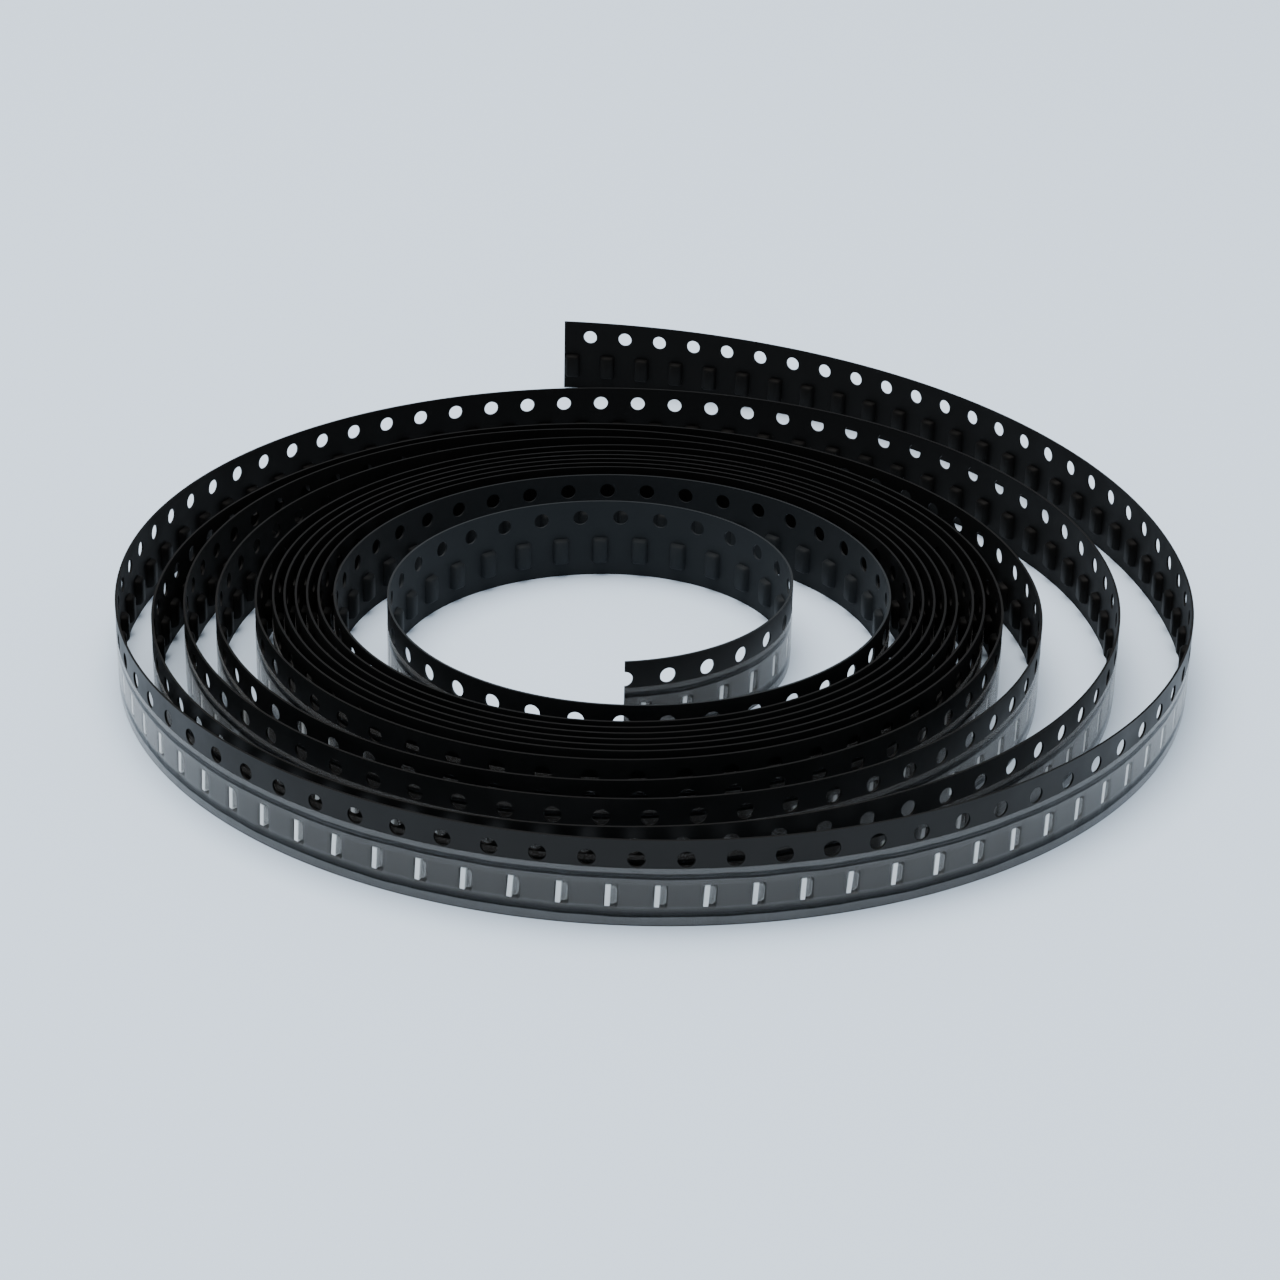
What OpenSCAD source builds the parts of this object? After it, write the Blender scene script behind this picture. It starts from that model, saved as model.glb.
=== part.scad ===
// Loose coil of 8 mm embossed carrier tape, standing on its lower edge.
// The tape's path is a chain of quarter-turn arcs that winds anticlockwise outwards. Each
// arc's centre lies on the line through the last arc's end and centre, so the film runs
// on smoothly from one radius to the next. Every radius is that of the film's outer face.

/* [Carrier film] */
// Width of the tape, which is the coil's height
tape_w = 8; // [8:0.5:12]
// Thickness of the carrier film
film_t = 0.2; // [0.15:0.01:0.3]

/* [Sprocket holes] */
// Distance along the tape from one sprocket hole to the next
hole_pitch = 4; // [3.6:0.1:6]
// Diameter of a sprocket hole
hole_d = 1.5; // [1:0.1:1.8]
// Distance from the tape's upper edge to the middle of the sprocket holes
hole_edge = 1.75; // [1.5:0.05:2]

/* [Pockets] */
// Distance from the row of sprocket holes down to the row of pockets
pocket_drop = 3.5; // [3.3:0.05:3.7]
// Length of a pocket's mouth along the tape
pocket_l = 1.15; // [1.05:0.05:1.4]
// Width of a pocket across the tape
pocket_w = 2.15; // [1.8:0.05:2.4]
// Depth of a pocket below the film's outer face
pocket_depth = 0.65; // [0.5:0.05:0.8]
// Slope of a pocket's end walls in degrees
pocket_draft = 4; // [0:1:6]

/* [Cover film] */
// Width of the cover film
cover_w = 5.3; // [5:0.1:5.4]
// Thickness of the cover film
cover_t = 0.05; // [0.03:0.01:0.1]
// Distance from the tape's upper edge to the cover film
cover_edge = 2.6; // [2.5:0.05:2.6]

/* [Chips] */
// Gap between a chip and the pocket's walls
chip_play = 0.05; // [0.03:0.01:0.1]
// Gap between a chip and the cover film
chip_headroom = 0.05; // [0.03:0.01:0.1]
// Length of a chip's body along the tape, the rest of the chip being its lens
chip_body_l = 0.43; // [0.35:0.01:0.5]
// Distance that a lens stands in from each side of its chip's body
lens_inset = 0.2; // [0.1:0.05:0.3]
// Distance that a lens narrows on each side towards its front
lens_taper = 0.25; // [0.1:0.05:0.3]

/* [Coil] */
// Radius of the first quarter turn before its slack
core_r = 25.31; // [24:0.01:28]
// Clear gap between two tight turns
turn_gap = 0.14; // [0.1:0.01:0.3]
// Share of the slack that the loose turns take
looseness = 1; // [0.8:0.02:1.1]
// Angle missing from the first quarter turn
inner_cut = 8.5; // [1:0.5:30]
// Angle missing from the last quarter turn
outer_cut = 3.4; // [1:0.1:30]

/* [Hidden] */
arc_fn = 72;
hole_fn = 24;
// How far a cutting shape runs past what it cuts
overcut = 0.2;
overcut_angle = 1;
// The finest step to which the coil's place is rounded
place_step = 0.01;

// What each quarter turn's radius has beyond the tight winding, from the inner end out
inner_slack = [-7, -8.5, -5, -3.5, -2, -1, -0.5, -0.5];
tight_arcs = 20;
outer_slack = [
    0.5, 0, 1, 0, 1, 1, 2.5, 2, 2, 3.5, 2.5,
    5, 3.5, 4.5, 5.5, 6, 10.5, 10, 9.5, 12, 13.5, 27
];
slack = concat(inner_slack, [for (i = [1:tight_arcs]) 0], outer_slack);

// The coil's arcs: radius, first and last angle, length along the middle of the film
turn_pitch = pocket_depth + film_t + cover_t + turn_gap;
last_arc = len(slack) - 1;
radii = [for (i = [0:last_arc]) core_r + i * turn_pitch / 4 + looseness * slack[i]];
quarters = [for (i = [0:last_arc]) 90 * (i - 1)];
starts = [for (i = [0:last_arc]) quarters[i] + (i == 0 ? inner_cut : 0)];
stops = [for (i = [0:last_arc]) quarters[i] + 90 - (i == last_arc ? outer_cut : 0)];
film_lengths = [
    for (i = [0:last_arc]) (radii[i] - film_t / 2) * (stops[i] - starts[i]) * PI / 180
];
arc_s = running_total(film_lengths);
tape_l = arc_s[last_arc] + film_lengths[last_arc];

// Arc centres, moved so that the coil stands about the origin
steps = [
    for (i = [0:last_arc])
        i == 0 ? [0, 0] : (radii[i - 1] - radii[i]) * direction(quarters[i])
];
path_centres = [for (i = [0:last_arc]) total(steps, i)];
ends = concat(
    [for (i = [0:last_arc]) path_centres[i] + (radii[i] + cover_t) * direction(starts[i])],
    [path_centres[last_arc] + (radii[last_arc] + cover_t) * direction(stops[last_arc])]
);
middle = [
    for (axis = [0:1])
        round((min(column(ends, axis)) + max(column(ends, axis))) / 2 / place_step) * place_step
];
centres = [for (c = path_centres) c - middle];

// Places along the tape, from the inner end, where a sprocket hole and a pocket come
hole_count = floor(tape_l / hole_pitch) + 1;
hole_places = [for (k = [0:hole_count - 1]) k * hole_pitch];
pocket_places = [for (s = hole_places) if (in_film(s + hole_pitch / 2)) s + hole_pitch / 2];
// The turns of the tight bundle hide each other, and are left plain
first_plain_arc = len(inner_slack);
first_outer_arc = first_plain_arc + tight_arcs + 2;
shown_holes = [for (s = hole_places) if (shows(s)) s];
shown_pockets = [for (s = pocket_places) if (shows(s)) s];

// Heights and pocket sizes
hole_z = tape_w - hole_edge;
pocket_z = hole_z - pocket_drop;
cover_z = tape_w - cover_edge - cover_w;
floor_l = pocket_l - 2 * pocket_depth * tan(pocket_draft);
chip_l = floor_l - 2 * chip_play;
chip_w = pocket_w - 2 * chip_play;
chip_h = pocket_depth - chip_headroom;
lens_l = chip_l - chip_body_l;
lens_w = chip_w - 2 * lens_inset;

function direction(angle) = [cos(angle), sin(angle)];
function column(points, axis) = [for (p = points) p[axis]];
function total(list, last) = last == 0 ? list[0] : list[last] + total(list, last - 1);
function running_total(list) = [
    for (i = 0, s = 0; i < len(list); s = s + list[i], i = i + 1) s
];
function arc_at(s) = max([for (i = [0:last_arc]) if (arc_s[i] <= s) i]);
function in_film(s) = s + pocket_l / 2 + film_t < tape_l;
function shows(s) = arc_at(s) < first_plain_arc || arc_at(s) >= first_outer_arc;

// Places its children at distance s along the tape: X points outwards from the film's
// outer face, Y runs along the tape and Z runs up across it
module at_tape(s) {
    i = arc_at(s);
    turned = (s - arc_s[i]) / (radii[i] - film_t / 2) * 180 / PI;
    translate(centres[i])
        rotate(starts[i] + turned)
            translate([radii[i], 0])
                children();
}

// Part of arc i's ring, between two distances from the film's outer face
module ring_part(i, first_angle, sweep, inside, outside, bottom, height) {
    translate(centres[i])
        rotate(first_angle)
            rotate_extrude(angle = sweep, $fn = arc_fn)
                translate([radii[i] + inside, bottom])
                    square([outside - inside, height]);
}

// What the two end cuts take off the first and the last quarter turn
module offcuts() {
    inside = -film_t - overcut;
    outside = cover_t + overcut;
    height = tape_w + 2 * overcut;
    ring_part(
        0, quarters[0] - overcut_angle, inner_cut + overcut_angle,
        inside, outside, -overcut, height
    );
    ring_part(
        last_arc, stops[last_arc], outer_cut + overcut_angle,
        inside, outside, -overcut, height
    );
}

// A strip that follows the whole coil, between two distances from the film's outer face
module coiled_strip(inside, outside, bottom, height) {
    difference() {
        union() {
            for (i = [0:last_arc])
                ring_part(i, quarters[i], 90, inside, outside, bottom, height);
        }
        offcuts();
    }
}

// A block across the tape whose length tapers by the pocket's draft towards its floor
module drafted_block(mouth_l, depth, width, top) {
    end_l = mouth_l - 2 * depth * tan(pocket_draft);
    translate([0, 0, pocket_z - width / 2])
        linear_extrude(width)
            polygon([
                [top, -mouth_l / 2],
                [top, mouth_l / 2],
                [-depth, end_l / 2],
                [-depth, -end_l / 2]
            ]);
}

module pocket_wall() {
    drafted_block(
        pocket_l + 2 * film_t, pocket_depth + film_t, pocket_w + 2 * film_t, -film_t / 2
    );
}

module pocket_space() {
    drafted_block(pocket_l, pocket_depth, pocket_w, overcut);
}

module sprocket_hole() {
    translate([-film_t / 2, 0, hole_z])
        rotate([0, 90, 0])
            cylinder(d = hole_d, h = film_t + 2 * overcut, center = true, $fn = hole_fn);
}

module carrier_tape() {
    color("#2a2b2d")
        difference() {
            union() {
                coiled_strip(-film_t, 0, 0, tape_w);
                for (s = shown_pockets)
                    at_tape(s) pocket_wall();
            }
            for (s = shown_pockets)
                at_tape(s) pocket_space();
            for (s = shown_holes)
                at_tape(s) sprocket_hole();
        }
}

module cover_tape() {
    color("#9aa3a8", 0.4)
        coiled_strip(0, cover_t, cover_z, cover_w);
}

// The body stands against the pocket's end that comes first along the tape
module chip_body() {
    translate([-pocket_depth, -chip_l / 2, pocket_z - chip_w / 2])
        cube([chip_h, chip_body_l, chip_w]);
}

module chip_lens() {
    translate([-pocket_depth, chip_body_l - chip_l / 2, pocket_z])
        rotate([0, 90, 0])
            linear_extrude(chip_h)
                polygon([
                    [-lens_w / 2, 0],
                    [lens_w / 2, 0],
                    [lens_w / 2, lens_l / 2],
                    [lens_w / 2 - lens_taper, lens_l],
                    [lens_taper - lens_w / 2, lens_l],
                    [-lens_w / 2, lens_l / 2]
                ]);
}

module chip_bodies() {
    color("#e6e8e6")
        for (s = shown_pockets)
            at_tape(s) chip_body();
}

module chip_lenses() {
    color("#9da3a6", 0.6)
        for (s = shown_pockets)
            at_tape(s) chip_lens();
}

carrier_tape();
cover_tape();
chip_bodies();
chip_lenses();
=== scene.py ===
"""Loose coil of 8 mm embossed carrier tape, with its cover film and the chips in its pockets.

Sizes are in millimetres until a mesh is made, and a mesh is in metres. A point of the tape is
(along, out, up): the distance along the film from its inner end, the distance outwards from the
film's outer face, and the height above the lower edge.
"""

import logging
import math
from dataclasses import dataclass, field
from enum import Enum, IntEnum

import bpy
import numpy as np
from mathutils import Matrix, Vector


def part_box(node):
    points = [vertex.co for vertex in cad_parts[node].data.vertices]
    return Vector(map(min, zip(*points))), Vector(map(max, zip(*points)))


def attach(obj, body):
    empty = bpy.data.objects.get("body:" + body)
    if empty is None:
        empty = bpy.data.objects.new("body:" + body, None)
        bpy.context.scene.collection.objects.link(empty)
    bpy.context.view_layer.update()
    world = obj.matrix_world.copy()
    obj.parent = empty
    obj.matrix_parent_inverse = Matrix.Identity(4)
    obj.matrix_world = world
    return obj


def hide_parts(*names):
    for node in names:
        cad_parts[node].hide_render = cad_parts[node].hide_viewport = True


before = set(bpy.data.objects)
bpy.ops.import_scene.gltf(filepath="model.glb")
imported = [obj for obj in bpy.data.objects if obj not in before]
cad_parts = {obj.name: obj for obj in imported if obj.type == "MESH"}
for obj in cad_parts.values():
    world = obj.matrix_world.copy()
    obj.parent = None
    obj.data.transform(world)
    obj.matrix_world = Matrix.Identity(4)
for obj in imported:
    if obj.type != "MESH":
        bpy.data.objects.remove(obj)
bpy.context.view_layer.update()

LOG = logging.getLogger("tape_coil")
MM = 0.001
BODY = "root"
# The angle from which an edge stays sharp, on a cut piece and on the softly pressed film
SHARP_ANGLE = math.radians(35)
SOFT_ANGLE = math.radians(65)
# Most of a noise's values lie between these two
NOISE_LOW = 0.3
NOISE_HIGH = 0.7
# A block's border and a pocket's ring each have this many points
CORNERS = 8


def linear(colour: str) -> tuple[float, float, float, float]:
    """Turns an sRGB hex colour into a linear one.

    Each channel c becomes c / 12.92 up to 0.04045, and ((c + 0.055) / 1.055) ^ 2.4 above it.

    Args:
        colour: Six hex digits, with or without the hash sign.

    Returns:
        Linear red, green and blue, and an alpha of 1.
    """
    digits = colour.lstrip("#")
    channels = np.array([int(digits[i : i + 2], 16) for i in (0, 2, 4)]) / 255
    low, high = channels / 12.92, ((channels + 0.055) / 1.055) ** 2.4
    red, green, blue = np.where(channels <= 0.04045, low, high)
    return float(red), float(green), float(blue), 1.0


def add_node(
    tree: bpy.types.NodeTree,
    kind: str,
    settings: dict[str | int, object] | None = None,
    links: dict[str | int, tuple[bpy.types.Node, str | int]] | None = None,
) -> bpy.types.Node:
    """Adds a node with its settings and links.

    Args:
        tree: The node tree that the node joins.
        kind: Blender's name for the type of node.
        settings: Values of the node's fields, or of its input sockets by name or number.
        links: The node and output that feed each input socket, by name or number.

    Returns:
        The new node.
    """
    node = tree.nodes.new(kind)
    for key, value in (settings or {}).items():
        if isinstance(key, str) and hasattr(node, key):
            setattr(node, key, value)
        else:
            node.inputs[key].default_value = value
    for key, (source, output) in (links or {}).items():
        tree.links.new(source.outputs[output], node.inputs[key])
    return node


# ---------------------------------------------------------------------------------------------
# Finishes
# ---------------------------------------------------------------------------------------------


class Relief(Enum):
    """How a moulded or rolled surface breaks up its gloss: bump height in mm and grain in mm."""

    CALENDERED = (0.003, 0.8)
    STRETCHED = (0.006, 5.0)
    MOULDED = (0.002, 0.15)


@dataclass(frozen=True)
class Finish:
    """What every finish shares: its colour, gloss and the relief that breaks up the gloss."""

    name: str
    colour: str
    roughness: float
    ior: float
    relief: Relief | None = None
    relief_strength: float = 0.5
    specular: float = 0.5
    gloss_tint: str = "ffffff"

    def shader(self, material: bpy.types.Material) -> bpy.types.Node:
        """Starts a material with its shader, its relief and its output.

        Args:
            material: The new material.

        Returns:
            The shader.
        """
        material.use_nodes = True
        tree = material.node_tree
        tree.nodes.clear()
        surface = add_node(
            tree,
            "ShaderNodeBsdfPrincipled",
            {
                "Base Color": linear(self.colour),
                "Roughness": self.roughness,
                "IOR": self.ior,
                "Specular IOR Level": self.specular,
                "Specular Tint": linear(self.gloss_tint),
            },
        )
        add_node(tree, "ShaderNodeOutputMaterial", links={"Surface": (surface, "BSDF")})
        if self.relief is not None:
            self.roughen(tree, surface, *self.relief.value)
        return surface

    def roughen(
        self, tree: bpy.types.NodeTree, surface: bpy.types.Node, height: float, grain: float
    ) -> None:
        """Adds the surface's relief as a bump.

        Args:
            tree: The material's node tree.
            surface: The shader that takes the bump.
            height: The relief's height in mm.
            grain: The size of its grain in mm.
        """
        place = add_node(tree, "ShaderNodeTexCoord")
        noise = add_node(
            tree,
            "ShaderNodeTexNoise",
            {"Scale": 1 / (grain * MM), "Detail": 1.0, "Roughness": 0.5},
            {"Vector": (place, "Object")},
        )
        bump = add_node(
            tree,
            "ShaderNodeBump",
            {"Strength": self.relief_strength, "Distance": height * MM},
            {"Height": (noise, "Fac")},
        )
        tree.links.new(bump.outputs["Normal"], surface.inputs["Normal"])


@dataclass(frozen=True)
class ConductivePolystyrene(Finish):
    """Black carbon-filled polystyrene film, calendered and then embossed.

    The calender leaves a satin gloss with a faint peel, and the carbon a slightly cold black.
    """

    name: str = "black_polystyrene"
    colour: str = "060707"
    roughness: float = 0.46
    ior: float = 1.59
    relief: Relief = Relief.CALENDERED
    specular: float = 0.19
    gloss_tint: str = "fff7ef"
    # The tone of its scuffs, and their size in mm
    scuffed: str = "0c0d0e"
    scuff_size: float = 6.0
    # How far the roughness falls where the film is polished, and rises where it is scuffed
    polish: float = 0.05
    dulling: float = 0.1
    # The lighter tone of a painted glint, where the loose inner turns catch light in their wide
    # gaps
    painted_glint: str = "0c0d0e"

    def material(self) -> bpy.types.Material:
        """Makes the material.

        A noise mixes the colour with its scuffed tone and moves the gloss, and the attribute
        painted_glint mixes what that gives with a lighter tone, a painted glint.

        Returns:
            The material.
        """
        material = bpy.data.materials.new(self.name)
        surface = self.shader(material)
        tree = material.node_tree
        place = add_node(tree, "ShaderNodeTexCoord")
        scuffs = add_node(
            tree,
            "ShaderNodeTexNoise",
            {"Scale": 1 / (self.scuff_size * MM), "Detail": 5.0, "Roughness": 0.6},
            {"Vector": (place, "Object")},
        )
        tone = add_node(
            tree,
            "ShaderNodeMix",
            {"data_type": "RGBA", 6: linear(self.colour), 7: linear(self.scuffed)},
            {0: (scuffs, "Fac")},
        )
        gloss = add_node(
            tree,
            "ShaderNodeMapRange",
            {
                "From Min": NOISE_LOW,
                "From Max": NOISE_HIGH,
                "To Min": self.roughness - self.polish,
                "To Max": self.roughness + self.dulling,
            },
            {"Value": (scuffs, "Fac")},
        )
        # Painted glint: the loose inner turns are lighter where light reaches them in their wide
        # gaps
        glint_share = add_node(tree, "ShaderNodeAttribute", {"attribute_name": "painted_glint"})
        grey = add_node(
            tree,
            "ShaderNodeMix",
            {"data_type": "RGBA", 7: linear(self.painted_glint)},
            {0: (glint_share, "Fac"), 6: (tone, 2)},
        )
        tree.links.new(grey.outputs[2], surface.inputs["Base Color"])
        tree.links.new(gloss.outputs["Result"], surface.inputs["Roughness"])
        return material


@dataclass(frozen=True)
class SealedPolyester(Finish):
    """Clear heat-sealed polyester film.

    It is glossy and almost clear over the pockets. Where the two heated rails have sealed it, it
    is painted a milky light grey, partly its own haze and partly a painted reflection of the table,
    and in the crease beside each seal, where it lifts off the carrier, it is painted dark as
    painted shade.
    """

    name: str = "sealed_polyester"
    # The lower seal, which is the lowest band, and how much of the carrier it hides. Its milky grey
    # is partly haze and partly a painted reflection of the table
    colour: str = "d6d8d9"
    seal_cover: float = 0.07
    roughness: float = 0.14
    ior: float = 1.57
    relief: Relief = Relief.STRETCHED
    specular: float = 0.1
    # The bands above it: lower edge in mm, colour, and how much of the carrier each hides. The
    # near-black bands at 0.82 and 4.34 mm, and the greys that fade out of them, are painted shade
    # in the creases, and the light greys are partly haze and partly a painted reflection of the
    # table
    bands: tuple[tuple[float, str, float], ...] = (
        (0.82, "0c0e10", 0.32),
        (1.08, "2a2e31", 0.2),
        (1.34, "5a5f63", 0.08),
        (1.56, "d4d3d0", 0.02),
        (1.68, "dcdbd9", 0.045),
        (1.84, "d4d3d0", 0.022),
        (3.85, "d8d7d4", 0.036),
        (4.34, "0c0e10", 0.3),
        (4.64, "6a6f73", 0.05),
        (4.92, "dcdbd9", 0.078),
    )
    # Half the width in mm over which a band turns into the next
    band_blend: float = 0.05
    # The height in mm that the ramp of bands spans
    ramp_span: float = 6.0
    # How far in mm the bands' edges wander, and the length of a bend in them
    wander: float = 0.24
    wander_size: float = 5.0
    # How much more the film hides when it is seen along its face, under band colours that are a
    # painted reflection standing in for its gloss there, and how late that sets in
    grazing_painted_sheen: float = 0.55
    grazing_power: float = 5.0

    def material(self) -> bpy.types.Material:
        """Makes the material.

        A ramp up the tape gives each band's colour and cover, its edges wandering with a slow
        noise. Seen along its face the film hides more of what is behind it under its band colours,
        a painted reflection, by a power of how far it is turned from the eye.

        Returns:
            The material.
        """
        material = bpy.data.materials.new(self.name)
        surface = self.shader(material)
        tree = material.node_tree
        place = add_node(tree, "ShaderNodeTexCoord")
        parts = add_node(tree, "ShaderNodeSeparateXYZ", links={0: (place, "Object")})
        noise = add_node(
            tree,
            "ShaderNodeTexNoise",
            {"Scale": 1 / (self.wander_size * MM), "Detail": 1.0},
            {"Vector": (place, "Object")},
        )
        shift = add_node(
            tree,
            "ShaderNodeMath",
            {"operation": "MULTIPLY_ADD", 1: self.wander * MM, 2: -self.wander / 2 * MM},
            {0: (noise, "Fac")},
        )
        height = add_node(
            tree,
            "ShaderNodeMath",
            {"operation": "ADD"},
            {0: (parts, "Z"), 1: (shift, 0)},
        )
        share = add_node(
            tree,
            "ShaderNodeMath",
            {"operation": "DIVIDE", 1: self.ramp_span * MM},
            {0: (height, 0)},
        )
        ramp = add_node(tree, "ShaderNodeValToRGB", links={0: (share, 0)})
        stops = ramp.color_ramp.elements
        stops.remove(stops[1])
        tone = (*linear(self.colour)[:3], self.seal_cover)
        stops[0].color = tone
        for low, colour, hidden in self.bands:
            stops.new((low - self.band_blend) / self.ramp_span).color = tone
            tone = (*linear(colour)[:3], hidden)
            stops.new((low + self.band_blend) / self.ramp_span).color = tone
        # Painted reflection: along its face the film's band colours cover more, standing in for its
        # gloss
        facing = add_node(tree, "ShaderNodeLayerWeight", {"Blend": 0.5})
        sheen = add_node(
            tree,
            "ShaderNodeMath",
            {"operation": "POWER", 1: self.grazing_power},
            {0: (facing, "Facing")},
        )
        cover = add_node(
            tree,
            "ShaderNodeMath",
            {"operation": "MULTIPLY_ADD", 1: self.grazing_painted_sheen, "use_clamp": True},
            {0: (sheen, 0), 2: (ramp, "Alpha")},
        )
        tree.links.new(ramp.outputs["Color"], surface.inputs["Base Color"])
        tree.links.new(cover.outputs[0], surface.inputs["Alpha"])
        return material


@dataclass(frozen=True)
class PaleLaminate(Finish):
    """White glass-epoxy laminate, sawn into bars, with a satin face."""

    name: str = "pale_laminate"
    colour: str = "fafaf6"
    roughness: float = 0.42
    ior: float = 1.52
    relief: Relief = Relief.MOULDED
    # The tone of the dullest bar
    dull: str = "dcdedc"

    def material(self) -> bpy.types.Material:
        """Makes the material, whose tone differs from chip to chip.

        Returns:
            The material.
        """
        material = bpy.data.materials.new(self.name)
        surface = self.shader(material)
        tree = material.node_tree
        batch = add_node(tree, "ShaderNodeAttribute", {"attribute_name": "tone"})
        tone = add_node(
            tree,
            "ShaderNodeMix",
            {"data_type": "RGBA", 6: linear(self.dull), 7: linear(self.colour)},
            {0: (batch, "Fac")},
        )
        tree.links.new(tone.outputs[2], surface.inputs["Base Color"])
        return material


@dataclass(frozen=True)
class ClearResin(Finish):
    """Clear epoxy, transfer-moulded: faintly grey against black, with a painted highlight on its
    rim.
    """

    name: str = "clear_resin"
    colour: str = "9c9c9a"
    roughness: float = 0.14
    ior: float = 1.53
    relief: Relief = Relief.MOULDED
    # The rim's painted highlight tone, and how much it, the dullest lens and the clearest one hide
    rim: str = "e6e4e0"
    rim_highlight_alpha: float = 0.3
    alpha: float = 0.3
    clearer: float = 0.17

    def material(self) -> bpy.types.Material:
        """Makes the material, whose clearness differs from chip to chip.

        Returns:
            The material.
        """
        material = bpy.data.materials.new(self.name)
        surface = self.shader(material)
        tree = material.node_tree
        batch = add_node(tree, "ShaderNodeAttribute", {"attribute_name": "tone"})
        rim = add_node(tree, "ShaderNodeAttribute", {"attribute_name": "rim"})
        body = add_node(
            tree,
            "ShaderNodeMapRange",
            {"To Min": self.clearer, "To Max": self.alpha},
            {"Value": (batch, "Fac")},
        )
        alpha = add_node(
            tree,
            "ShaderNodeMix",
            {"data_type": "FLOAT", 3: self.rim_highlight_alpha},
            {0: (rim, "Fac"), 2: (body, "Result")},
        )
        # Painted highlight: a pale tone along the lens's outline stands in for light caught at its
        # edge
        tone = add_node(
            tree,
            "ShaderNodeMix",
            {"data_type": "RGBA", 6: linear(self.colour), 7: linear(self.rim)},
            {0: (rim, "Fac")},
        )
        tree.links.new(tone.outputs[2], surface.inputs["Base Color"])
        tree.links.new(alpha.outputs[0], surface.inputs["Alpha"])
        return material


@dataclass(frozen=True)
class MattTable(Finish):
    """Pale matt laminate of the table top, which gives no clear reflection."""

    name: str = "matt_table"
    colour: str = "d9e8f7"
    roughness: float = 0.55
    ior: float = 1.45

    def material(self) -> bpy.types.Material:
        """Makes the material.

        Returns:
            The material.
        """
        material = bpy.data.materials.new(self.name)
        self.shader(material)
        return material


# ---------------------------------------------------------------------------------------------
# Path and meshes
# ---------------------------------------------------------------------------------------------


@dataclass
class CoilPath:
    """The tape's path, a chain of quarter-turn arcs that winds anticlockwise outwards.

    Arc i has radius core + i * turn_pitch / 4 + slack_i, measured to the film's outer face. Its
    centre is the last arc's plus (last radius - radius) times the direction of their shared end,
    so the film runs on smoothly.
    """

    stands_at: tuple[float, float]
    core_radius: float = 25.31
    turn_pitch: float = 1.04
    film_t: float = 0.2
    cover_t: float = 0.05
    # Degrees missing from the first and from the last arc
    inner_cut: float = 8.5
    outer_cut: float = 3.4
    # What each arc's radius has beyond the tight winding, from the inner end out
    inner_slack: tuple[float, ...] = (-7, -8.5, -5, -3.5, -2, -1, -0.5, -0.5)
    tight_arcs: int = 20
    outer_slack: tuple[float, ...] = (
        0.5, 0, 1, 0, 1, 1, 2.5, 2, 2, 3.5, 2.5,
        5, 3.5, 4.5, 5.5, 6, 10.5, 10, 9.5, 12, 13.5, 27,
    )
    radii: np.ndarray = field(init=False)
    starts: np.ndarray = field(init=False)
    marks: np.ndarray = field(init=False)
    centres: np.ndarray = field(init=False)

    def __post_init__(self) -> None:
        """Works out each arc's radius, first angle, place along the tape and centre."""
        slack = np.concatenate([self.inner_slack, np.zeros(self.tight_arcs), self.outer_slack])
        arcs = np.arange(len(slack))
        first = np.radians(90.0 * (arcs - 1))
        cut_first = np.where(arcs == 0, math.radians(self.inner_cut), 0.0)
        cut_last = np.where(arcs == arcs[-1], math.radians(self.outer_cut), 0.0)
        self.radii = self.core_radius + arcs * self.turn_pitch / 4 + slack
        self.starts = first + cut_first
        sweeps = math.pi / 2 - cut_first - cut_last
        lengths = (self.radii - self.film_t / 2) * sweeps
        self.marks = np.concatenate([[0.0], np.cumsum(lengths)])
        steps = (self.radii[:-1] - self.radii[1:])[:, None] * self.direction(first[1:])
        centres = np.concatenate([np.zeros((1, 2)), np.cumsum(steps, axis=0)])
        reach = (self.radii + self.cover_t)[:, None]
        stops = self.starts + sweeps
        ends = np.concatenate([centres + reach * self.direction(a) for a in (self.starts, stops)])
        middle = (ends.min(axis=0) + ends.max(axis=0)) / 2
        self.centres = centres - middle + np.array(self.stands_at)

    @property
    def length(self) -> float:
        """The tape's whole length in mm."""
        return float(self.marks[-1])

    @staticmethod
    def direction(angle: np.ndarray) -> np.ndarray:
        """Unit vectors (cos angle, sin angle)."""
        return np.stack([np.cos(angle), np.sin(angle)], axis=-1)

    def locate(self, along: np.ndarray) -> tuple[np.ndarray, np.ndarray, np.ndarray]:
        """Finds the arc that each distance along the tape lies on.

        The angle is the arc's first angle plus the distance into it over the radius of the
        film's middle.

        Args:
            along: Distances from the inner end in mm.

        Returns:
            The arcs' centres, their radii and the angles on them.
        """
        arc = np.clip(np.searchsorted(self.marks, along, side="right") - 1, 0, len(self.radii) - 1)
        angle = self.starts[arc] + (along - self.marks[arc]) / (self.radii[arc] - self.film_t / 2)
        return self.centres[arc], self.radii[arc], angle

    def bend(self, points: np.ndarray) -> np.ndarray:
        """Carries points of the flat tape onto the coil.

        A point (along, out, up) goes to centre + (radius + out) * direction(angle), at height up.

        Args:
            points: Rows of along, out and up in mm.

        Returns:
            Rows of x, y and z in mm.
        """
        centre, radius, angle = self.locate(points[:, 0])
        flat = centre + (radius + points[:, 1])[:, None] * self.direction(angle)
        return np.column_stack([flat, points[:, 2]])

    def carry(self, shape: np.ndarray, along: np.ndarray) -> np.ndarray:
        """Carries rigid copies of a shape to places along the tape.

        A copy's point goes to centre + (radius + out) * direction + along * tangent, at height up.

        Args:
            shape: One array of rows (along, out, up) for each copy.
            along: The copies' places along the tape in mm.

        Returns:
            Rows of x, y and z in mm for all the copies.
        """
        centre, radius, angle = self.locate(along)
        outwards = self.direction(angle)[:, None, :]
        onwards = self.direction(angle + math.pi / 2)[:, None, :]
        reach = (radius[:, None] + shape[:, :, 1])[:, :, None]
        flat = centre[:, None, :] + reach * outwards + shape[:, :, :1] * onwards
        return np.concatenate([flat, shape[:, :, 2:]], axis=2).reshape(-1, 3)


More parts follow.
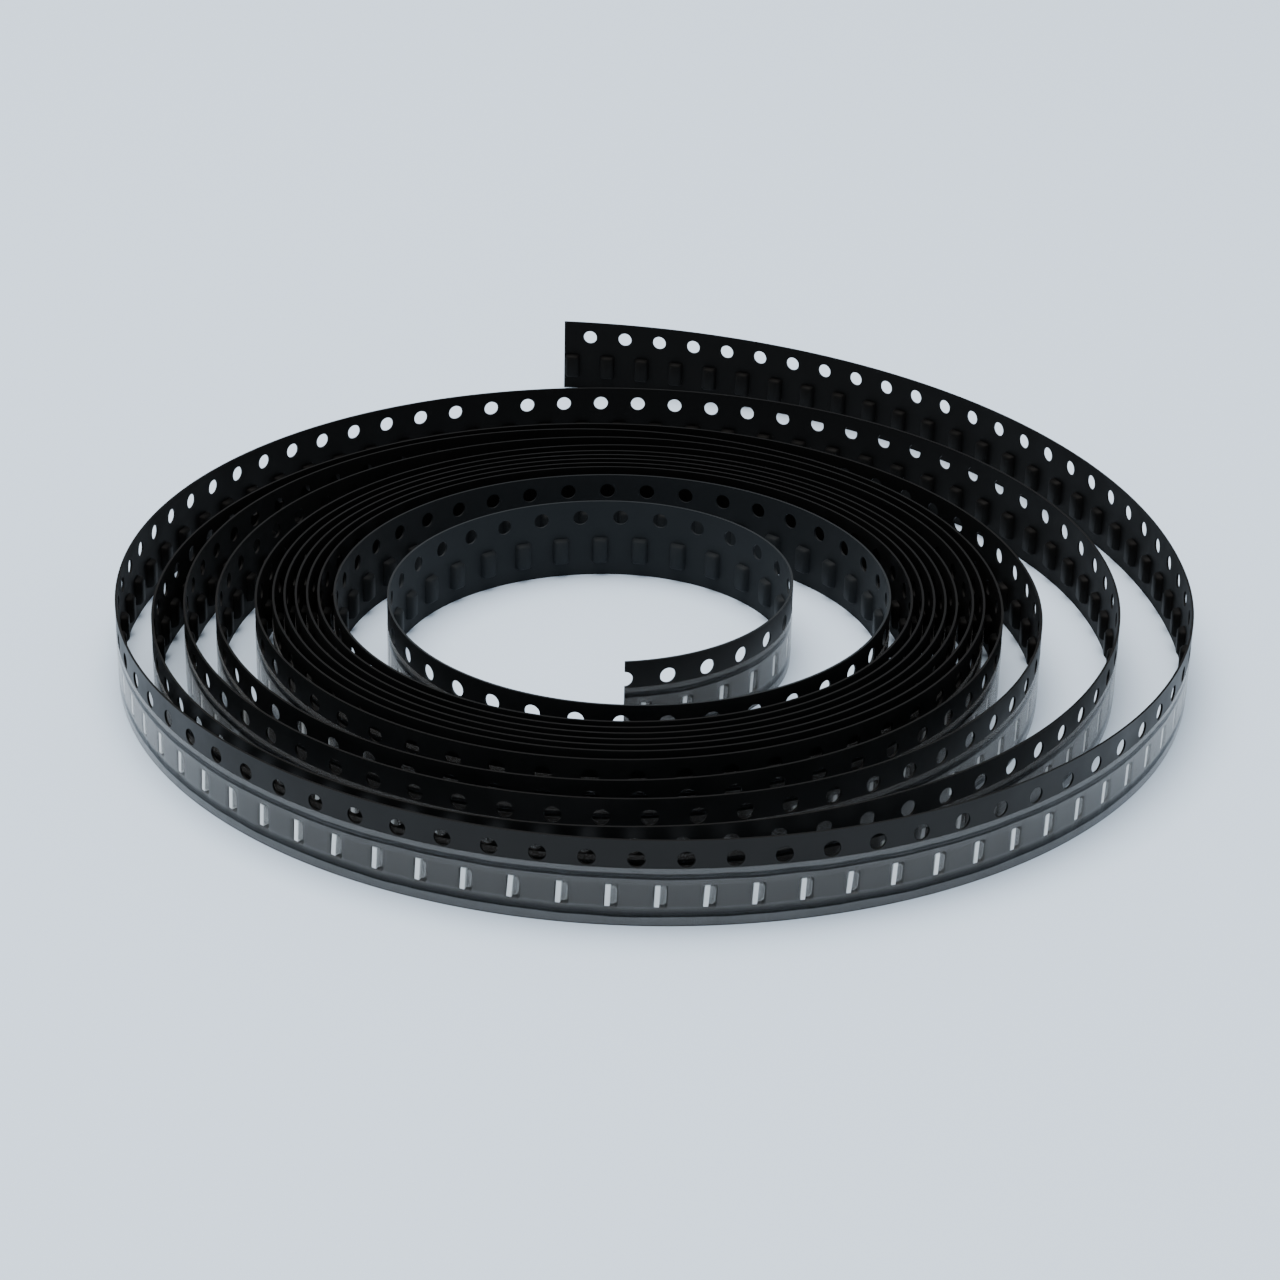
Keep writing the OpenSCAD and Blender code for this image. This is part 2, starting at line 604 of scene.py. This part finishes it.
def make_piece(
    name: str, points: np.ndarray, faces: list[np.ndarray], sharp_from: float = SHARP_ANGLE
) -> bpy.types.Object:
    """Makes an object at the origin from points in millimetres.

    Args:
        name: The object's name.
        points: Rows of x, y and z in mm.
        faces: Arrays of vertex numbers, one array for each number of corners.
        sharp_from: The angle from which an edge stays sharp.

    Returns:
        The new object, smooth apart from its sharp edges.
    """
    mesh = bpy.data.meshes.new(name)
    polygons = [row for group in faces for row in group.tolist()]
    mesh.from_pydata((points * MM).tolist(), [], polygons)
    mesh.update()
    mesh.shade_smooth()
    mesh.set_sharp_from_angle(angle=sharp_from)
    piece = bpy.data.objects.new(name, mesh)
    bpy.context.scene.collection.objects.link(piece)
    return piece


def add_attribute(piece: bpy.types.Object, name: str, values: np.ndarray) -> None:
    """Gives each point of a piece a number that its material reads.

    Args:
        piece: The piece.
        name: The attribute's name.
        values: One number for each point.
    """
    attribute = piece.data.attributes.new(name, "FLOAT", "POINT")
    attribute.data.foreach_set("value", values.astype(np.float32))


def close_sheet(faces: list[np.ndarray], count: int) -> list[np.ndarray]:
    """Gives a sheet of faces its inner side and its rims.

    The inner side has the same faces turned over, on vertices numbered count higher. An edge
    that only one face uses gets a rim: outer j, outer i, inner i, inner j.

    Args:
        faces: Arrays of vertex numbers of the outer side, anticlockwise seen from outside.
        count: The number of vertices of the outer side.

    Returns:
        The arrays of faces of the closed shape.
    """
    first = np.concatenate([group.ravel() for group in faces])
    second = np.concatenate([np.roll(group, -1, axis=1).ravel() for group in faces])
    free = np.isin(first * count + second, second * count + first, invert=True)
    i, j = first[free], second[free]
    rims = np.column_stack([j, i, i + count, j + count])
    return faces + [group[:, ::-1] + count for group in faces] + [rims]


# ---------------------------------------------------------------------------------------------
# The coil's pieces
# ---------------------------------------------------------------------------------------------


class FilmFace(IntEnum):
    """The carrier film's kinds of face, numbered as its materials are."""

    OUTER = 0
    INNER = 1
    COVERED = 2


@dataclass
class FilmCell:
    """One pitch of the carrier film, laid flat: its points on both sides, and its outer faces."""

    thickness: float
    # The points' places on the flat film (along, up), and the points on its two sides
    flat: list[np.ndarray] = field(default_factory=list)
    outer: list[np.ndarray] = field(default_factory=list)
    inner: list[np.ndarray] = field(default_factory=list)
    # The faces by their number of corners
    faces: dict[int, list[list[int]]] = field(default_factory=dict)

    @staticmethod
    def lift(places: np.ndarray, out: float) -> np.ndarray:
        """Puts rows of along and up at one distance outwards."""
        return np.column_stack([places[:, 0], np.full(len(places), out), places[:, 1]])

    def add(
        self,
        places: np.ndarray,
        outer: np.ndarray | None = None,
        inner: np.ndarray | None = None,
    ) -> int:
        """Adds points to the cell.

        Args:
            places: The points' flat places, as rows of along and up.
            outer: The points on the outer side, if they don't lie on the film's outer face.
            inner: The points on the inner side, if they don't lie on the film's inner face.

        Returns:
            The first point's number.
        """
        start = sum(len(rows) for rows in self.flat)
        self.flat.append(places)
        self.outer.append(self.lift(places, 0.0) if outer is None else outer)
        self.inner.append(self.lift(places, -self.thickness) if inner is None else inner)
        return start

    def face(self, *corners: int) -> None:
        """Adds an outer face, whose corners run anticlockwise seen from outside."""
        self.faces.setdefault(len(corners), []).append(list(corners))


@dataclass
class CarrierTape:
    """The black carrier film: sprocket holes, and pockets pressed in from its outer face."""

    path: CoilPath
    width: float = 8.0
    thickness: float = 0.2
    pitch: float = 4.0
    hole_d: float = 1.5
    hole_up: float = 6.25
    pocket_up: float = 2.75
    pocket_l: float = 1.15
    pocket_w: float = 2.15
    pocket_depth: float = 0.65
    draft: float = math.radians(4)
    # The height at which the blocks with holes meet those with pockets
    seam_up: float = 4.65
    # Rounding of a pocket: at its mouth, at its back's edges and at its corners
    lip: float = 0.05
    shoulder: float = 0.2
    corner: float = 0.18
    hole_sides: int = 24
    # How far each ring of a pocket is drawn in on the flat film, so that no two share a place
    ring_step: float = 0.05
    # Points of neighbouring cells are one if their flat places agree to this many decimals
    place_digits: int = 4
    # The loose inner turns are painted a lighter grey over this length, a painted glint where light
    # reaches them in their wide gaps, and it fades out over the next
    painted_glint_l: float = 150.0
    painted_glint_fade: float = 135.0
    finish: ConductivePolystyrene = ConductivePolystyrene()
    # The inner faces and cut edges: a darker copy of the black film, painted shade for where they
    # lie between the turns
    inner_finish: ConductivePolystyrene = ConductivePolystyrene(
        name="painted_shade_polystyrene",
        colour="030303",
        roughness=0.6,
        specular=0.08,
        scuffed="070707",
        painted_glint="1f2224",
    )
    # The clear film's two faces add their own gloss to the carrier behind it
    covered_finish: ConductivePolystyrene = ConductivePolystyrene(
        name="covered_polystyrene", roughness=0.32, specular=0.44, polish=0.01, dulling=0.02
    )

    def border(self, along: float, up: float, low: float, high: float) -> np.ndarray:
        """Gives the eight points round a block that is half a pitch long.

        Args:
            along: The place of the block's middle along the tape.
            up: The place of its middle points up the tape.
            low: Its lower edge.
            high: Its upper edge.

        Returns:
            Rows of along and up, anticlockwise from the right-hand middle.
        """
        right, left = along + self.pitch / 4, along - self.pitch / 4
        upper = [(right, up), (right, high), (along, high), (left, high)]
        lower = [(left, up), (left, low), (along, low), (right, low)]
        return np.array(upper + lower)

    def ring(self, half_l: float, half_w: float) -> np.ndarray:
        """Gives the eight points of an oblong with cut corners round the pocket's middle.

        Args:
            half_l: Half its length along the tape.
            half_w: Half its width up the tape.

        Returns:
            Rows of along and up, anticlockwise from the lower right.
        """
        c = self.corner
        upper = [(half_l, c - half_w), (half_l, half_w - c), (half_l - c, half_w)]
        upper += [(c - half_l, half_w)]
        lower = [(-half_l, half_w - c), (-half_l, c - half_w)]
        lower += [(c - half_l, -half_w), (half_l - c, -half_w)]
        return np.array(upper + lower) + (self.pitch / 2, self.pocket_up)

    def lay_hole(self, cell: FilmCell) -> None:
        """Lays the block with the hole at 0, whose ring is joined to its border by eight sectors.

        Args:
            cell: The cell that the block joins.
        """
        edge = cell.add(self.border(0, self.hole_up, self.seam_up, self.width))
        angles = np.arange(self.hole_sides) * 2 * math.pi / self.hole_sides
        circle = CoilPath.direction(angles) * self.hole_d / 2
        hole = cell.add(circle + (0, self.hole_up))
        step = self.hole_sides // CORNERS
        for k in range(CORNERS):
            rim = [hole + (k * step + m) % self.hole_sides for m in range(step, -1, -1)]
            cell.face(edge + k, edge + (k + 1) % CORNERS, *rim)

    def lay_pocket(self, cell: FilmCell) -> None:
        """Lays the block with the pocket, half a pitch on.

        Three rings step down from the film to the pocket's floor. On the outer side they are the
        lip, the wall's top and the floor, and on the inner side the foot, the shoulder and the
        bottom. Each pair is (half length, half width, out).

        Args:
            cell: The cell that the block joins.
        """
        edge = cell.add(self.border(self.pitch / 2, self.pocket_up, 0, self.seam_up))
        l, w, d, t = self.pocket_l / 2, self.pocket_w / 2, self.pocket_depth, self.thickness
        taper = d * math.tan(self.draft)
        foot, top = t + self.lip, t - self.shoulder
        levels = (
            ((l + self.lip, w + self.lip, 0.0), (l + foot, w + foot, -t)),
            ((l, w, -self.lip), (l + t - taper, w + t, self.shoulder - d - t)),
            ((l - taper, w, -d), (l + top, w + top, -d - t)),
        )
        rings = []
        for number, ((half_l, half_w, out), (under_l, under_w, under_out)) in enumerate(levels):
            drawn_in = self.ring_step * number
            rings.append(
                cell.add(
                    self.ring(l - drawn_in, w - drawn_in),
                    cell.lift(self.ring(half_l, half_w), out),
                    cell.lift(self.ring(under_l, under_w), under_out),
                )
            )
        lip = rings[0]
        for k in range(0, CORNERS, 2):
            before, after = edge + (k - 1) % CORNERS, lip + (k + 2) % CORNERS
            cell.face(before, edge + k, edge + k + 1, lip + k + 1, lip + k)
            cell.face(edge + k + 1, after, lip + k + 1)
        for upper, lower in zip(rings, rings[1:]):
            for k in range(CORNERS):
                after = (k + 1) % CORNERS
                cell.face(upper + k, upper + after, lower + after, lower + k)
        cell.face(*range(rings[-1], rings[-1] + CORNERS))

    def lay_plain(self, cell: FilmCell, along: float, rows: tuple[float, float, float]) -> None:
        """Lays a plain block of four squares.

        Args:
            cell: The cell that the block joins.
            along: The place of the block's middle along the tape.
            rows: The heights of its three rows of points.
        """
        columns = [along + m * self.pitch / 4 for m in (-1, 0, 1)]
        grid = cell.add(np.array([(x, up) for up in rows for x in columns]))
        # The lower left corner of each square, among three rows of three points
        for corner in (0, 1, 3, 4):
            first = grid + corner
            cell.face(first, first + 1, first + 4, first + 3)

    def cell(self) -> FilmCell:
        """Lays out one pitch of the film.

        Returns:
            The cell, with a hole at 0 and a pocket half a pitch on.
        """
        cell = FilmCell(self.thickness)
        self.lay_hole(cell)
        self.lay_pocket(cell)
        self.lay_plain(cell, self.pitch / 2, (self.seam_up, self.hole_up, self.width))
        self.lay_plain(cell, 0.0, (0.0, self.pocket_up, self.seam_up))
        return cell

    def film(self) -> tuple[np.ndarray, np.ndarray, list[np.ndarray]]:
        """Repeats the cell along the tape, and cuts the inner end through a hole.

        Cell n lies n pitches along. Points that share a flat place become one, what lies before
        0 is left out, and the last points are moved to the tape's outer end.

        Returns:
            The outer and then the inner points (along, out, up), the height of each outer
            point on the flat film, and the faces of the outer side.
        """
        cell = self.cell()
        size = sum(len(rows) for rows in cell.flat)
        count = int(self.path.length // self.pitch) + 1
        offsets = np.repeat(np.arange(count) * self.pitch, size)
        sides = (cell.flat, cell.outer, cell.inner)
        places, outer, inner = (np.tile(np.concatenate(side), (count, 1)) for side in sides)
        for rows in (places, outer, inner):
            rows[:, 0] += offsets
        keys, first, number = np.unique(
            np.round(places, self.place_digits), axis=0, return_index=True, return_inverse=True
        )
        starts = (np.arange(count) * size)[:, None, None]
        groups = []
        for corners, group in cell.faces.items():
            faces = number.ravel()[(np.array(group)[None] + starts).reshape(-1, corners)]
            groups.append(faces[keys[faces, 0].mean(axis=1) > 0])
        points = np.concatenate([outer[first], inner[first]])
        points[np.tile(keys[:, 0] == keys[:, 0].max(), 2), 0] = self.path.length
        used = np.unique(np.concatenate([faces.ravel() for faces in groups]))
        renumber = np.zeros(len(keys), int)
        renumber[used] = np.arange(len(used))
        points = points[np.concatenate([used, used + len(keys)])]
        return points, keys[used, 1], [renumber[faces] for faces in groups]

    def build(self) -> bpy.types.Object:
        """Bends the film onto the coil, and gives its faces their finishes.

        Returns:
            The film.
        """
        points, up, groups = self.film()
        piece = make_piece(
            "carrier_film", self.path.bend(points), close_sheet(groups, len(up)), SOFT_ANGLE
        )
        painted_glint = np.clip(1 - (points[:, 0] - self.painted_glint_l) / self.painted_glint_fade, 0, 1)
        add_attribute(piece, "painted_glint", painted_glint)
        for finish in (self.finish, self.inner_finish, self.covered_finish):
            piece.data.materials.append(finish.material())
        covered = np.concatenate([up[faces].mean(axis=1) < self.seam_up for faces in groups])
        kinds = np.full(len(piece.data.polygons), FilmFace.INNER, dtype=np.int32)
        kinds[: len(covered)] = np.where(covered, FilmFace.COVERED, FilmFace.OUTER)
        piece.data.polygons.foreach_set("material_index", kinds)
        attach(piece, BODY)
        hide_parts("carrier_tape")
        return piece


@dataclass
class CoverTape:
    """The clear cover film on the carrier's outer face, pressed flat along its two seals."""

    path: CoilPath
    # How far its inner face stands off the carrier, so that the two never share a place
    gap: float = 0.01
    # Rows of the film: height up the tape, and how far its outer face stands off the carrier
    profile: tuple[tuple[float, float], ...] = (
        (0.1, 0.025),
        (0.2, 0.032),
        (0.85, 0.032),
        (1.05, 0.05),
        (1.9, 0.05),
        (2.75, 0.05),
        (3.6, 0.05),
        (4.4, 0.05),
        (4.6, 0.032),
        (5.3, 0.032),
        (5.4, 0.025),
    )
    finish: SealedPolyester = SealedPolyester()

    def build(self) -> bpy.types.Object:
        """Lays the film as a grid, along the tape by up it, and bends it onto the coil.

        It has a row of points each millimetre. Its outer face follows the profile, and its inner
        face lies at the gap.

        Returns:
            The film.
        """
        along = np.append(np.arange(0.0, math.floor(self.path.length)), self.path.length)
        up, proud = np.array(self.profile).T
        a, u = np.meshgrid(along, up, indexing="ij")
        out = np.broadcast_to(proud, a.shape)
        outer = np.column_stack([a.ravel(), out.ravel(), u.ravel()])
        inner = np.column_stack([a.ravel(), np.full(a.size, self.gap), u.ravel()])
        corner = (np.arange(len(along) - 1)[:, None] * len(up) + np.arange(len(up) - 1)).ravel()
        quads = np.column_stack([corner, corner + len(up), corner + len(up) + 1, corner + 1])
        points = self.path.bend(np.concatenate([outer, inner]))
        piece = make_piece("cover_film", points, close_sheet([quads], len(outer)))
        piece.data.materials.append(self.finish.material())
        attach(piece, BODY)
        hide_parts("cover_tape")
        return piece


@dataclass
class Chips:
    """The chips in the pockets: a pale bar with a clear lens in front of it."""

    path: CoilPath
    pitch: float = 4.0
    pocket_up: float = 2.75
    depth: float = 0.65
    headroom: float = 0.05
    length: float = 0.959
    body_l: float = 0.43
    width: float = 2.05
    # How far a lens stands in from its bar's ends, narrows to its front and stands off centre
    lens_inset: float = 0.2
    lens_taper: float = 0.25
    lens_rise: float = 0.06
    # The sloped edges of a bar, and the drop and width of a lens's
    chamfer: float = 0.03
    crown: float = 0.05
    crown_w: float = 0.14
    # Degrees that the chips lean on average and that a chip may lean more or less than that, and
    # the share of the last that is usual
    lean: float = -3.0
    tilt: float = 2.0
    usual_share: float = 0.5
    # How much of the rim's painted highlight a point has: on the front, on its outline and at the
    # back
    rim_highlight_shares: tuple[float, float, float] = (0.0, 1.0, 0.5)
    seed: int = 7
    body_finish: PaleLaminate = PaleLaminate()
    lens_finish: ClearResin = ClearResin()
    along: np.ndarray = field(init=False)
    angles: np.ndarray = field(init=False)
    tones: np.ndarray = field(init=False)

    def __post_init__(self) -> None:
        """Settles each chip's place along the tape, its tilt and its tone."""
        draws = np.random.default_rng(self.seed)
        last = self.path.length - self.length / 2
        self.along = np.arange(self.pitch / 2, last, self.pitch)
        spread = np.clip(draws.normal(0, self.usual_share, len(self.along)), -1, 1)
        self.angles = np.radians(self.lean + self.tilt * spread)
        self.tones = draws.uniform(0, 1, len(self.along))

    def prism(
        self, outline: np.ndarray, edge_w: float, edge_drop: float
    ) -> tuple[np.ndarray, list[np.ndarray]]:
        """Stands an outline up into a prism between the pocket's floor and the cover film.

        The front face is drawn in by edge_w all round, and its old outline drops by edge_drop.

        Args:
            outline: Rows of along and up, anticlockwise seen from outside.
            edge_w: The width of the front's sloped edge.
            edge_drop: How far that edge slopes back.

        Returns:
            Rows of along, out and up, in three rings from the front back, and the faces.
        """
        count = len(outline)
        middle = (outline.max(axis=0) + outline.min(axis=0)) / 2
        half = (outline.max(axis=0) - outline.min(axis=0)) / 2
        front = middle + (outline - middle) * (1 - edge_w / half)
        rings = (
            (front, -self.headroom),
            (outline, -self.headroom - edge_drop),
            (outline, -self.depth),
        )
        points = np.concatenate(
            [np.column_stack([ring[:, 0], np.full(count, z), ring[:, 1]]) for ring, z in rings]
        )
        top = np.arange(count)
        after = np.roll(top, -1)
        slope = np.column_stack([after, top, top + count, after + count])
        return points, [top[None], top[None, ::-1] + 2 * count, slope, slope + count]

    def place(
        self,
        name: str,
        outline: np.ndarray,
        edge_w: float,
        edge_drop: float,
        material: bpy.types.Material,
    ) -> bpy.types.Object:
        """Puts a copy of a prism into each pocket, turned by its chip's tilt.

        A point's along and up are turned about the chip's middle by the tilt's angle.

        Args:
            name: The name of the piece.
            outline: The prism's outline about the chip's middle.
            edge_w: The width of the front's sloped edge.
            edge_drop: How far that edge slopes back.
            material: The piece's material.

        Returns:
            The piece, with all its copies.
        """
        points, faces = self.prism(outline, edge_w, edge_drop)
        cos, sin = np.cos(self.angles)[:, None], np.sin(self.angles)[:, None]
        along = points[:, 0] * cos - points[:, 2] * sin
        up = points[:, 0] * sin + points[:, 2] * cos + self.pocket_up
        out = np.broadcast_to(points[:, 1], along.shape)
        placed = self.path.carry(np.stack([along, out, up], axis=2), self.along)
        starts = (np.arange(len(self.along)) * len(points))[:, None, None]
        groups = [(group[None] + starts).reshape(-1, group.shape[1]) for group in faces]
        piece = make_piece(name, placed, groups)
        add_attribute(piece, "tone", np.repeat(self.tones, len(points)))
        rim = np.repeat(self.rim_highlight_shares, len(outline))
        add_attribute(piece, "rim", np.tile(rim, len(self.along)))
        piece.data.materials.append(material)
        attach(piece, BODY)
        return piece

    def build(self) -> list[bpy.types.Object]:
        """Makes the bars and the lenses from their outlines.

        Returns:
            The piece of the bars and the piece of the lenses.
        """
        back, front = -self.length / 2, self.length / 2
        half = self.width / 2
        joint = back + self.body_l
        bar = np.array([(back, -half), (joint, -half), (joint, half), (back, half)])
        wide = half - self.lens_inset
        narrow = wide - self.lens_taper
        middle = (joint + front) / 2
        lower = [(joint, -wide), (middle, -wide), (front, -narrow)]
        upper = [(front, narrow), (middle, wide), (joint, wide)]
        dome = np.array(lower + upper) + (0, self.lens_rise)
        bars = self.place(
            "chip_bars", bar, self.chamfer, self.chamfer, self.body_finish.material()
        )
        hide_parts("chip_bodies")
        lenses = self.place(
            "chip_domes", dome, self.crown_w, self.crown, self.lens_finish.material()
        )
        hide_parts("chip_lenses")
        return [bars, lenses]


# ---------------------------------------------------------------------------------------------
# Studio
# ---------------------------------------------------------------------------------------------


@dataclass
class Studio:
    """The table, the soft light over it and the camera."""

    # The camera's place in mm, and the degrees that it looks down and is rolled
    camera_at: tuple[float, float, float] = (-1.38, -266.90, 130.61)
    camera_down: float = 26.64
    camera_roll: float = 1.333
    # Its focal length and sensor in mm, and the nearest that it sees in m
    lens: float = 85.27
    sensor: float = 36.0
    nearest: float = 0.01
    table_half: float = 3000.0
    sky: str = "dfe8f2"
    sky_strength: float = 0.85
    # The lamp's power in W, and its side and place in m
    lamp_power: float = 17.5
    lamp_size: float = 0.9
    lamp_at: tuple[float, float, float] = (-0.12, 0.08, 1.0)
    table: MattTable = MattTable()

    def build_table(self) -> bpy.types.Object:
        """Makes the table top as one square.

        Returns:
            The table top.
        """
        h = self.table_half
        corners = np.array([(-h, -h, 0.0), (h, -h, 0.0), (h, h, 0.0), (-h, h, 0.0)])
        table = make_piece("table_top", corners, [np.array([[0, 1, 2, 3]])])
        table.data.materials.append(self.table.material())
        return table

    def build_light(self) -> None:
        """Lights the table from an even sky and one large soft lamp above."""
        world = bpy.data.worlds.new("sky")
        bpy.context.scene.world = world
        world.use_nodes = True
        tree = world.node_tree
        tree.nodes.clear()
        glow = add_node(
            tree, "ShaderNodeBackground", {"Color": linear(self.sky), "Strength": self.sky_strength}
        )
        add_node(tree, "ShaderNodeOutputWorld", links={"Surface": (glow, "Background")})
        lamp = bpy.data.lights.new("soft_lamp", "AREA")
        lamp.energy = self.lamp_power
        lamp.size = self.lamp_size
        holder = bpy.data.objects.new("soft_lamp", lamp)
        holder.location = self.lamp_at
        holder.rotation_euler = Vector(self.lamp_at).to_track_quat("Z", "Y").to_euler()
        bpy.context.scene.collection.objects.link(holder)

    def build_camera(self) -> None:
        """Stands the camera in front of the coil, looking down at it."""
        lens = bpy.data.cameras.new("camera")
        lens.lens = self.lens
        lens.sensor_width = self.sensor
        lens.clip_start = self.nearest
        camera = bpy.data.objects.new("camera", lens)
        place = Matrix.Translation([c * MM for c in self.camera_at])
        tip = Matrix.Rotation(math.radians(90 - self.camera_down), 4, "X")
        roll = Matrix.Rotation(math.radians(self.camera_roll), 4, "Z")
        camera.matrix_world = place @ tip @ roll
        bpy.context.scene.collection.objects.link(camera)
        bpy.context.scene.camera = camera

    def build(self) -> None:
        """Sets up the whole studio."""
        self.build_camera()
        self.build_light()
        self.build_table()


def main() -> None:
    """Builds the coil and the studio, and reports each piece."""
    logging.basicConfig(level=logging.INFO, format="%(message)s")
    low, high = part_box("cover_tape")
    path = CoilPath(stands_at=((low[0] + high[0]) / 2 / MM, (low[1] + high[1]) / 2 / MM))
    Studio().build()
    pieces = [CarrierTape(path).build(), CoverTape(path).build(), *Chips(path).build()]
    for piece in pieces:
        LOG.info("%s: %d faces", piece.name, len(piece.data.polygons))


if __name__ == "__main__":
    main()
